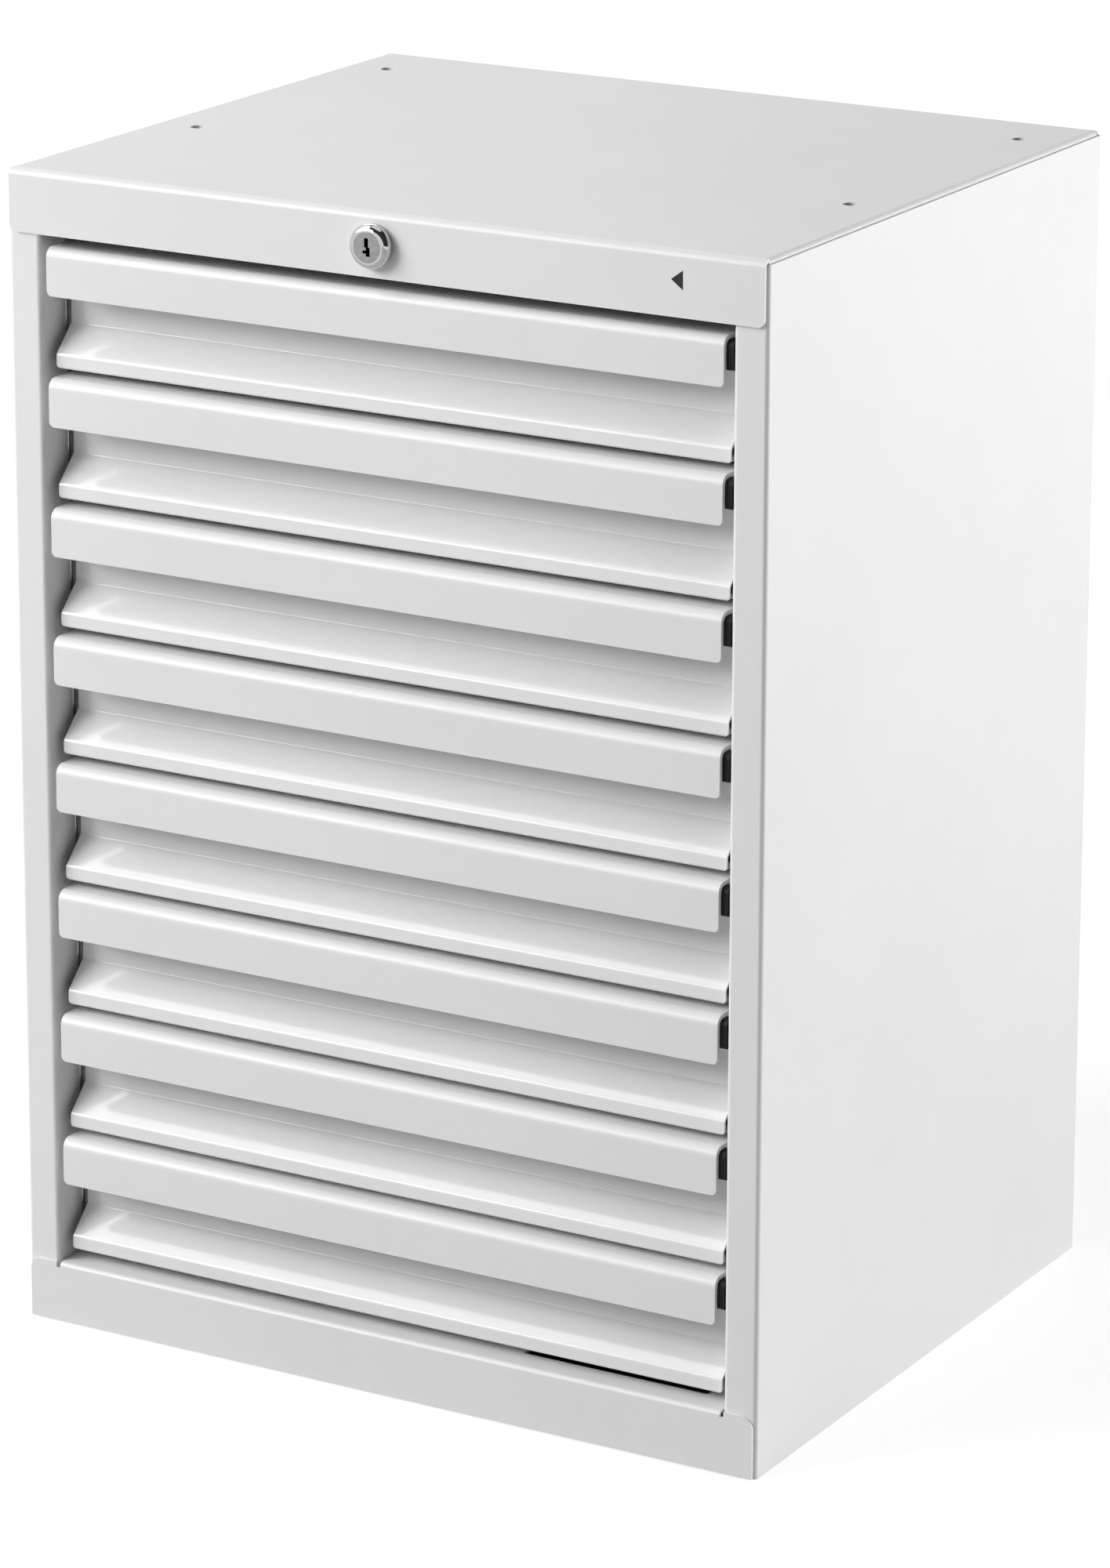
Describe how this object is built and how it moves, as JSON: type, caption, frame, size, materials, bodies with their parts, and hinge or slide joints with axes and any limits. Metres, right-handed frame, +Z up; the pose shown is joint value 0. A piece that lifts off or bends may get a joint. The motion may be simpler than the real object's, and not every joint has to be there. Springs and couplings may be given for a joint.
{
  "type": "van drawer unit",
  "caption": "Upright sheet-metal drawer cabinet for a van, with latching full-width sliding handles, telescopic slides, one key lock and bolt holes in the top and feet.",
  "frame": {"origin": "middle of the overall box, at the bottom", "axes": "+Z up, +X to the right seen from the front, drawers open towards -Y"},
  "size_m": [0.438, 0.3762, 0.622],
  "materials": {
    "white_panel": "satin white powder coat",
    "white_drawer": "satin white powder coat",
    "white_handle": "satin white powder coat, fine texture",
    "zinc_steel": "zinc plated",
    "chrome": "polished chrome",
    "satin_plug": "satin nickel",
    "black_plastic": "black moulded plastic"
  },
  "bodies": {
    "root": {"left_side_panel": "white_panel", "right_side_panel": "white_panel", "top_panel": "white_panel", "back_panel": "white_panel", "base_panel": "white_panel", "slide_posts": "zinc_steel", "slide_outer_members": "zinc_steel", "lock_cylinder": "chrome", "lock_bar_guides": "zinc_steel"},
    "drawer_1": {"drawer_1_pan": "white_drawer", "drawer_1_front": "white_drawer", "drawer_1_slide_inner": "zinc_steel"},
    "handle_1": {"drawer_1_handle": "white_handle", "drawer_1_latch_block": "black_plastic"},
    "slide_1": {"drawer_1_slide_middle": "zinc_steel"},
    "drawer_2": {"drawer_2_pan": "white_drawer", "drawer_2_front": "white_drawer", "drawer_2_slide_inner": "zinc_steel"},
    "handle_2": {"drawer_2_handle": "white_handle", "drawer_2_latch_block": "black_plastic"},
    "slide_2": {"drawer_2_slide_middle": "zinc_steel"},
    "drawer_3": {"drawer_3_pan": "white_drawer", "drawer_3_front": "white_drawer", "drawer_3_slide_inner": "zinc_steel"},
    "handle_3": {"drawer_3_handle": "white_handle", "drawer_3_latch_block": "black_plastic"},
    "slide_3": {"drawer_3_slide_middle": "zinc_steel"},
    "drawer_4": {"drawer_4_pan": "white_drawer", "drawer_4_front": "white_drawer", "drawer_4_slide_inner": "zinc_steel"},
    "handle_4": {"drawer_4_handle": "white_handle", "drawer_4_latch_block": "black_plastic"},
    "slide_4": {"drawer_4_slide_middle": "zinc_steel"},
    "drawer_5": {"drawer_5_pan": "white_drawer", "drawer_5_front": "white_drawer", "drawer_5_slide_inner": "zinc_steel"},
    "handle_5": {"drawer_5_handle": "white_handle", "drawer_5_latch_block": "black_plastic"},
    "slide_5": {"drawer_5_slide_middle": "zinc_steel"},
    "drawer_6": {"drawer_6_pan": "white_drawer", "drawer_6_front": "white_drawer", "drawer_6_slide_inner": "zinc_steel"},
    "handle_6": {"drawer_6_handle": "white_handle", "drawer_6_latch_block": "black_plastic"},
    "slide_6": {"drawer_6_slide_middle": "zinc_steel"},
    "drawer_7": {"drawer_7_pan": "white_drawer", "drawer_7_front": "white_drawer", "drawer_7_slide_inner": "zinc_steel"},
    "handle_7": {"drawer_7_handle": "white_handle", "drawer_7_latch_block": "black_plastic"},
    "slide_7": {"drawer_7_slide_middle": "zinc_steel"},
    "drawer_8": {"drawer_8_pan": "white_drawer", "drawer_8_front": "white_drawer", "drawer_8_slide_inner": "zinc_steel"},
    "handle_8": {"drawer_8_handle": "white_handle", "drawer_8_latch_block": "black_plastic"},
    "slide_8": {"drawer_8_slide_middle": "zinc_steel"},
    "lock_key": {"lock_plug": "satin_plug", "lock_rod": "zinc_steel"},
    "lock_bar": {"lock_bar": "zinc_steel"}
  },
  "joints": [
    {"name": "drawer_1_pull", "type": "slide", "parent": "root", "child": "drawer_1", "axis": [0, -1, 0], "range_m": [0, 0.3]},
    {"name": "slide_1_follow", "type": "slide", "parent": "root", "child": "slide_1", "axis": [0, -1, 0], "range_m": [0, 0.15]},
    {"name": "handle_1_unlatch", "type": "slide", "parent": "drawer_1", "child": "handle_1", "axis": [-1, 0, 0], "range_m": [0, 0.004], "stiffness_N_per_m": 800},
    {"name": "drawer_2_pull", "type": "slide", "parent": "root", "child": "drawer_2", "axis": [0, -1, 0], "range_m": [0, 0.3]},
    {"name": "slide_2_follow", "type": "slide", "parent": "root", "child": "slide_2", "axis": [0, -1, 0], "range_m": [0, 0.15]},
    {"name": "handle_2_unlatch", "type": "slide", "parent": "drawer_2", "child": "handle_2", "axis": [-1, 0, 0], "range_m": [0, 0.004], "stiffness_N_per_m": 800},
    {"name": "drawer_3_pull", "type": "slide", "parent": "root", "child": "drawer_3", "axis": [0, -1, 0], "range_m": [0, 0.3]},
    {"name": "slide_3_follow", "type": "slide", "parent": "root", "child": "slide_3", "axis": [0, -1, 0], "range_m": [0, 0.15]},
    {"name": "handle_3_unlatch", "type": "slide", "parent": "drawer_3", "child": "handle_3", "axis": [-1, 0, 0], "range_m": [0, 0.004], "stiffness_N_per_m": 800},
    {"name": "drawer_4_pull", "type": "slide", "parent": "root", "child": "drawer_4", "axis": [0, -1, 0], "range_m": [0, 0.3]},
    {"name": "slide_4_follow", "type": "slide", "parent": "root", "child": "slide_4", "axis": [0, -1, 0], "range_m": [0, 0.15]},
    {"name": "handle_4_unlatch", "type": "slide", "parent": "drawer_4", "child": "handle_4", "axis": [-1, 0, 0], "range_m": [0, 0.004], "stiffness_N_per_m": 800},
    {"name": "drawer_5_pull", "type": "slide", "parent": "root", "child": "drawer_5", "axis": [0, -1, 0], "range_m": [0, 0.3]},
    {"name": "slide_5_follow", "type": "slide", "parent": "root", "child": "slide_5", "axis": [0, -1, 0], "range_m": [0, 0.15]},
    {"name": "handle_5_unlatch", "type": "slide", "parent": "drawer_5", "child": "handle_5", "axis": [-1, 0, 0], "range_m": [0, 0.004], "stiffness_N_per_m": 800},
    {"name": "drawer_6_pull", "type": "slide", "parent": "root", "child": "drawer_6", "axis": [0, -1, 0], "range_m": [0, 0.3]},
    {"name": "slide_6_follow", "type": "slide", "parent": "root", "child": "slide_6", "axis": [0, -1, 0], "range_m": [0, 0.15]},
    {"name": "handle_6_unlatch", "type": "slide", "parent": "drawer_6", "child": "handle_6", "axis": [-1, 0, 0], "range_m": [0, 0.004], "stiffness_N_per_m": 800},
    {"name": "drawer_7_pull", "type": "slide", "parent": "root", "child": "drawer_7", "axis": [0, -1, 0], "range_m": [0, 0.3]},
    {"name": "slide_7_follow", "type": "slide", "parent": "root", "child": "slide_7", "axis": [0, -1, 0], "range_m": [0, 0.15]},
    {"name": "handle_7_unlatch", "type": "slide", "parent": "drawer_7", "child": "handle_7", "axis": [-1, 0, 0], "range_m": [0, 0.004], "stiffness_N_per_m": 800},
    {"name": "drawer_8_pull", "type": "slide", "parent": "root", "child": "drawer_8", "axis": [0, -1, 0], "range_m": [0, 0.3]},
    {"name": "slide_8_follow", "type": "slide", "parent": "root", "child": "slide_8", "axis": [0, -1, 0], "range_m": [0, 0.15]},
    {"name": "handle_8_unlatch", "type": "slide", "parent": "drawer_8", "child": "handle_8", "axis": [-1, 0, 0], "range_m": [0, 0.004], "stiffness_N_per_m": 800},
    {"name": "lock_turn", "type": "hinge", "parent": "root", "child": "lock_key", "pos_m": [0, -0.1814, 0.6055], "axis": [0, 1, 0], "range_deg": [0, 90]},
    {"name": "lock_bar_lift", "type": "slide", "parent": "root", "child": "lock_bar", "axis": [0, 0, 1], "range_m": [0, 0.006]}
  ],
  "couplings": [
    {"joint": "slide_1_follow", "follows": "drawer_1_pull", "ratio": 0.5},
    {"joint": "slide_2_follow", "follows": "drawer_2_pull", "ratio": 0.5},
    {"joint": "slide_3_follow", "follows": "drawer_3_pull", "ratio": 0.5},
    {"joint": "slide_4_follow", "follows": "drawer_4_pull", "ratio": 0.5},
    {"joint": "slide_5_follow", "follows": "drawer_5_pull", "ratio": 0.5},
    {"joint": "slide_6_follow", "follows": "drawer_6_pull", "ratio": 0.5},
    {"joint": "slide_7_follow", "follows": "drawer_7_pull", "ratio": 0.5},
    {"joint": "slide_8_follow", "follows": "drawer_8_pull", "ratio": 0.5},
    {"joint": "lock_turn", "follows": "lock_bar_lift", "rad_per_m": 261.8}
  ]
}
